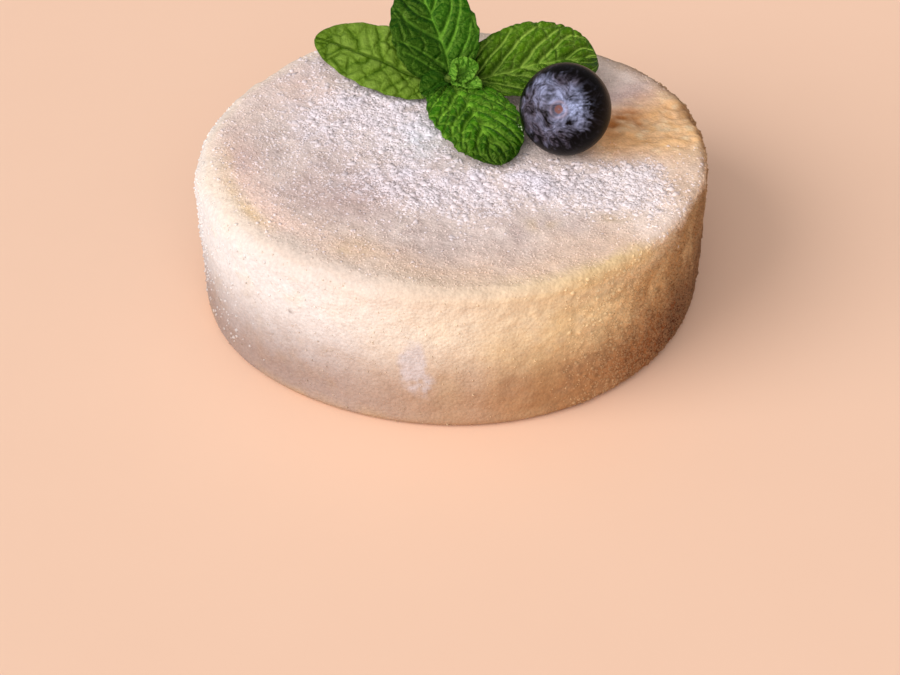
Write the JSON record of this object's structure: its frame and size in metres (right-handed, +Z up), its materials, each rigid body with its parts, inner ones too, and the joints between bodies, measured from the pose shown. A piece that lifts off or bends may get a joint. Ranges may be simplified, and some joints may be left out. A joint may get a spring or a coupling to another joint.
{
  "type": "cheesecake",
  "caption": "Small round cheesecake coated in fine crumbs and sugar, with a mint sprig and a blueberry lying on top.",
  "frame": {"origin": "middle of the cake's flat base, on the surface it stands on", "axes": "+Z up out of the cake's top, -Y towards the front that the picture shows, +X to the right seen from the front"},
  "size_m": [0.0871, 0.0867, 0.0451],
  "materials": {
    "crumb_coat": "dry fine crumbs dusted with sugar",
    "blueberry_skin": "waxy bloom over dark skin",
    "mint_leaf": "fresh leaf, slight gloss"
  },
  "bodies": {
    "root": {"cake": "crumb_coat", "blueberry": "blueberry_skin", "mint_sprig": "mint_leaf"}
  },
  "joints": []
}
